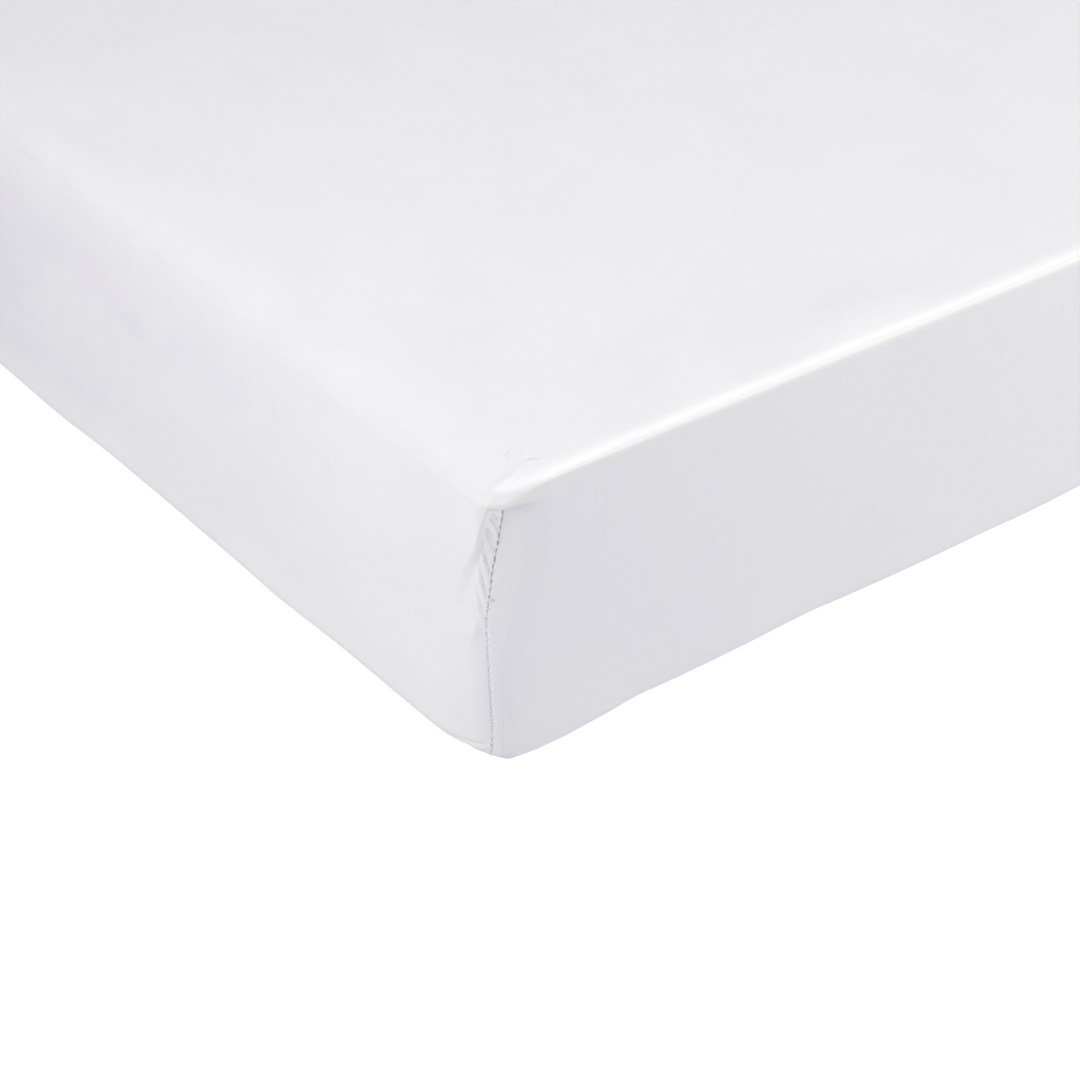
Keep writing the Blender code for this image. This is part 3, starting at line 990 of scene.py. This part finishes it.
# Painted shade: the colour is darker in the grooves between the strands, where the bump is lowest.
thread_color_with_groove_shade = blend_colors(thread, strands, (0.78, 0.78, 0.79, 1), (0.88, 0.88, 0.88, 1))
feed(thread, thread_shader.inputs["Base Color"], thread_color_with_groove_shade)
feed(thread, thread_shader.inputs["Roughness"], spread(thread, fuzz, 0.2, 0.8, 0.34, 0.5))
feed(thread, thread_shader.inputs["Normal"], bump(thread, strands, 0.00005, 0.5))
for piece in (*seams_of_thread, knot):
    piece.data.materials.clear()
    piece.data.materials.append(thread)
print("thread for", len(seams_of_thread), "seams and a knot")

# %% [markdown]
# ## Ride on the frame
#
# The frame has one body, because nothing here moves on a joint. The cloth and the mattress stand for their
# CAD nodes.

# %% Ride and replace
for piece in (cloth, mattress, knot, *seams_of_thread):
    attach(piece, "root")
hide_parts("fitted_sheet")
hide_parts("mattress")

# %% [markdown]
# ## The studio
#
# The bed stands on plain white paper, lit so evenly that no shadow is left on it. Such paper is easiest to
# make as a surface with a little light of its own. It is kept out of the light that falls on the cloth, and
# the lower half of the surroundings does the work of the light that the paper would throw back.

# %% The paper floor
PAPER_SIZE, PAPER_GAP = 30, 0.0005
only(None)
bpy.ops.mesh.primitive_plane_add(size=PAPER_SIZE, location=(0, 0, -PAPER_GAP))
floor = bpy.context.object
floor.name = "floor"
floor_material, floor_shader = new_material("pale_floor", (0.12, 0.12, 0.12), 1.0)
floor_shader.inputs["Specular IOR Level"].default_value = 0.0
floor_shader.inputs["Emission Color"].default_value = (1, 1, 1, 1)
floor_shader.inputs["Emission Strength"].default_value = 1.0
floor.data.materials.append(floor_material)
floor.visible_diffuse = False
floor.visible_glossy = False
floor.visible_shadow = False
print("the floor is", tuple(floor.dimensions)[:2], "m")

# %% [markdown]
# The surroundings are brighter below, where white paper would be, than above, and a little violet. A few large
# soft boxes do the rest: the key light is high, across the bed, where the foot edge catches it as a bright line.

# %% The surroundings
BELOW_HORIZON, ABOVE_HORIZON = (0.713, 0.696, 0.773, 1), (0.241, 0.250, 0.261, 1)
world = bpy.data.worlds.new("studio")
bpy.context.scene.world = world
world.use_nodes = True
direction = add_node(world, "ShaderNodeTexCoord").outputs["Generated"]
upward = add_node(world, "ShaderNodeSeparateXYZ", Vector=direction).outputs["Z"]
share_above = spread(world, upward, -0.03, 0.03)
surroundings = blend_colors(world, share_above, BELOW_HORIZON, ABOVE_HORIZON)
feed(world, world.node_tree.nodes["Background"].inputs["Color"], surroundings)
print("the surroundings are ready")


# %% The soft boxes


def soft_box(name, aim, way, distance, size, power, tint=(1.0, 1.0, 1.0)):
    light = bpy.data.lights.new(name, "AREA")
    light.shape = "SQUARE"
    light.size = size
    light.energy = power
    light.color = tint
    lamp = bpy.data.objects.new(name, light)
    bpy.context.collection.objects.link(lamp)
    way = Vector(way).normalized()
    turn = way.to_track_quat("Z", "Y").to_matrix().to_4x4()
    lamp.matrix_world = Matrix.Translation(Vector(aim) + way * distance) @ turn
    return lamp


# name, what it lights, the way to it, distance, size, power, tint
FORE = (-0.15, -0.70, 0.20)
NEAR_CORNER = (-0.45, -0.93, 0.10)
soft_box("key", FORE, (0.537, 0.0, 0.833), 3.0, 1.5, 45.8, (1.007, 1.0, 0.966))
soft_box("end", FORE, (0.55, -0.80, 0.21), 3.0, 1.4, 35.5, (0.984, 1.0, 0.90))
soft_box("end_low", FORE, (0.3, -0.95, 0.15), 3.0, 1.4, 10.0, (1.022, 1.0, 0.985))
soft_box("side_near", NEAR_CORNER, (-1.0, 0.06, 0.37), 1.3, 0.7, 10.4, (0.996, 1.0, 0.928))
soft_box("top_near", (-0.42, -0.95, 0.20), (-0.1, 0.1, 1.0), 1.4, 0.8, 6.0, (1.042, 1.0, 1.106))

# %% [markdown]
# ## The camera
#
# A long lens looks down on the near corner, so that the two sides run away from it with little perspective.
# The camera is set by what it looks at, two angles and a distance, and it leans a little to one side.

# %% Camera
AIM = Vector((-0.4545, -1.0425, 0.2))
AZIMUTH, ELEVATION, ROLL = math.radians(-41.131), math.radians(35.396), math.radians(3.5)
DISTANCE = 1.9195
LENS = 116.67
SENSOR_WIDTH = 36
back = Vector(
    (
        math.sin(AZIMUTH) * math.cos(ELEVATION),
        -math.cos(AZIMUTH) * math.cos(ELEVATION),
        math.sin(ELEVATION),
    )
)
right = Vector((math.cos(AZIMUTH), math.sin(AZIMUTH), 0))
up = back.cross(right)
turned_right = right * math.cos(ROLL) + up * math.sin(ROLL)
turned_up = up * math.cos(ROLL) - right * math.sin(ROLL)
camera_data = bpy.data.cameras.new("camera")
camera_data.lens = LENS
camera_data.sensor_width = SENSOR_WIDTH
camera = bpy.data.objects.new("camera", camera_data)
bpy.context.collection.objects.link(camera)
pose = Matrix((turned_right, turned_up, back)).transposed().to_4x4()
pose.translation = AIM + back * DISTANCE
camera.matrix_world = pose
bpy.context.scene.camera = camera
bpy.context.scene.view_settings.view_transform = "Standard"
print("the camera stands", DISTANCE, "m from the corner, with a lens of", LENS, "mm")
